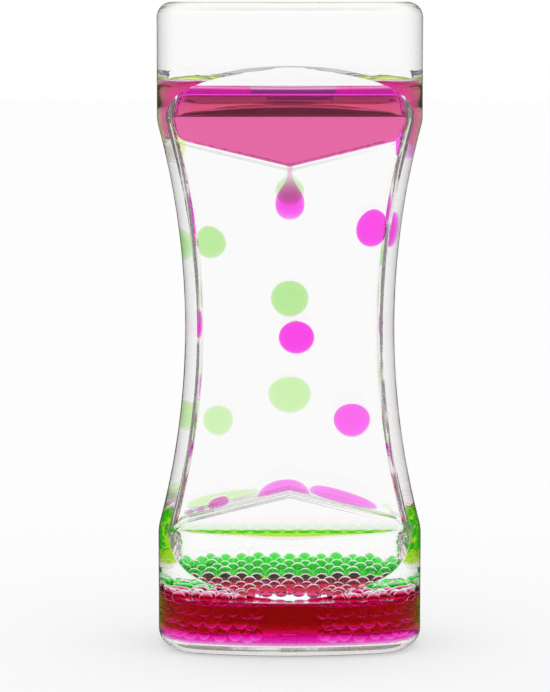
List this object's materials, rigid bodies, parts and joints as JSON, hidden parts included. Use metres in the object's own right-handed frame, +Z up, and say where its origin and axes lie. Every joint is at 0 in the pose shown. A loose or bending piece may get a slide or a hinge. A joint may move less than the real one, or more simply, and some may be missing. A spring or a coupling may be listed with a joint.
{
  "type": "liquid motion timer",
  "caption": "Clear hourglass-shaped desk timer: dyed water drips through V plates and falls as drops through clear oil in two chambers, one behind the other.",
  "frame": {"origin": "middle of the base that the timer stands on", "axes": "+Z up towards the other end, -Y out through the front window, the pink chamber's, +X to the right of it"},
  "size_m": [0.0574, 0.04, 0.14],
  "materials": {
    "clear_case": "polished clear moulded plastic",
    "clear_plate": "polished clear sheet plastic",
    "glue": "cured clear glue, frosted in patches",
    "clear_plug": "clear plastic plug",
    "clear_oil": "clear colourless oil",
    "pink_water": "water dyed bright pink",
    "green_water": "water dyed bright green"
  },
  "bodies": {
    "case": {"front_shell": "clear_case", "rear_shell": "clear_case", "divider_plate": "clear_plate", "seam_adhesive": "glue", "front_upper_baffle": "clear_plate", "front_lower_baffle": "clear_plate", "rear_upper_baffle": "clear_plate", "rear_lower_baffle": "clear_plate", "front_fill_plug": "clear_plug", "rear_fill_plug": "clear_plug", "front_oil": "clear_oil", "rear_oil": "clear_oil", "pink_upper_pool": "pink_water", "green_upper_pool": "green_water", "pink_lower_pool": "pink_water", "green_lower_pool": "green_water", "pink_lower_bubbles": "pink_water", "green_lower_bubbles": "green_water", "pink_landed_drop": "pink_water"},
    "pink_centre_drop": {"pink_centre_drop": "pink_water"},
    "pink_side_upper_drop": {"pink_side_upper_drop": "pink_water"},
    "pink_side_lower_drop": {"pink_side_lower_drop": "pink_water"},
    "green_centre_upper_drop": {"green_centre_upper_drop": "green_water"},
    "green_centre_lower_drop": {"green_centre_lower_drop": "green_water"},
    "green_side_upper_drop": {"green_side_upper_drop": "green_water"},
    "green_side_lower_drop": {"green_side_lower_drop": "green_water"},
    "pink_roof_slug": {"pink_roof_slug": "pink_water"},
    "pink_roof_drop_large": {"pink_roof_drop_large": "pink_water"},
    "pink_roof_drop_middle": {"pink_roof_drop_middle": "pink_water"},
    "pink_roof_drop_small": {"pink_roof_drop_small": "pink_water"},
    "green_roof_slug": {"green_roof_slug": "green_water"},
    "green_roof_drop": {"green_roof_drop": "green_water"},
    "green_gap_drop": {"green_gap_drop": "green_water"}
  },
  "joints": [
    {"name": "pink_centre_fall", "type": "slide", "parent": "case", "child": "pink_centre_drop", "axis": [0, 0, 1], "range_m": [-0.0268, 0.021], "deforming": ["front_oil"]},
    {"name": "pink_side_upper_fall", "type": "slide", "parent": "case", "child": "pink_side_upper_drop", "axis": [0.1191, 0, 0.9929], "range_m": [-0.011, 0.009], "deforming": ["front_oil"]},
    {"name": "pink_side_lower_fall", "type": "slide", "parent": "case", "child": "pink_side_lower_drop", "axis": [0.0995, 0, 0.995], "range_m": [-0.011, 0.009], "deforming": ["front_oil"]},
    {"name": "green_centre_upper_fall", "type": "slide", "parent": "case", "child": "green_centre_upper_drop", "axis": [0, 0, 1], "range_m": [-0.016, 0.0158], "deforming": ["rear_oil"]},
    {"name": "green_centre_lower_fall", "type": "slide", "parent": "case", "child": "green_centre_lower_drop", "axis": [0, 0, 1], "range_m": [-0.016, 0.0158], "deforming": ["rear_oil"]},
    {"name": "green_side_upper_fall", "type": "slide", "parent": "case", "child": "green_side_upper_drop", "axis": [-0.0995, 0, 0.995], "range_m": [-0.012, 0.009], "deforming": ["rear_oil"]},
    {"name": "green_side_lower_fall", "type": "slide", "parent": "case", "child": "green_side_lower_drop", "axis": [0, 0, 1], "range_m": [-0.012, 0.009], "deforming": ["rear_oil"]},
    {"name": "pink_roof_slug_slide", "type": "slide", "parent": "case", "child": "pink_roof_slug", "axis": [0.972, 0, -0.2351], "range_m": [0, 0.0038], "deforming": ["front_oil"]},
    {"name": "pink_roof_large_slide", "type": "slide", "parent": "case", "child": "pink_roof_drop_large", "axis": [-0.972, 0, -0.2351], "range_m": [-0.005, 0.0015], "deforming": ["front_oil"]},
    {"name": "pink_roof_middle_slide", "type": "slide", "parent": "case", "child": "pink_roof_drop_middle", "axis": [-0.972, 0, -0.2351], "range_m": [-0.005, 0.0015], "deforming": ["front_oil"]},
    {"name": "pink_roof_small_slide", "type": "slide", "parent": "case", "child": "pink_roof_drop_small", "axis": [-0.972, 0, -0.2351], "range_m": [-0.005, 0.0015], "deforming": ["front_oil"]},
    {"name": "green_roof_slug_slide", "type": "slide", "parent": "case", "child": "green_roof_slug", "axis": [-0.972, 0, -0.2351], "range_m": [-0.005, 0.0015], "deforming": ["rear_oil"]},
    {"name": "green_roof_slide", "type": "slide", "parent": "case", "child": "green_roof_drop", "axis": [0.972, 0, -0.2351], "range_m": [-0.005, 0.001], "deforming": ["rear_oil"]},
    {"name": "green_gap_fall", "type": "slide", "parent": "case", "child": "green_gap_drop", "axis": [0, 0, 1], "range_m": [-0.0095, 0], "deforming": ["rear_oil"]}
  ],
  "couplings": [
    {"joint": "pink_side_lower_fall", "follows": "pink_side_upper_fall", "ratio": 1},
    {"joint": "green_centre_lower_fall", "follows": "green_centre_upper_fall", "ratio": 1},
    {"joint": "green_side_lower_fall", "follows": "green_side_upper_fall", "ratio": 1},
    {"joint": "pink_roof_middle_slide", "follows": "pink_roof_large_slide", "ratio": 1},
    {"joint": "pink_roof_small_slide", "follows": "pink_roof_large_slide", "ratio": 1}
  ]
}
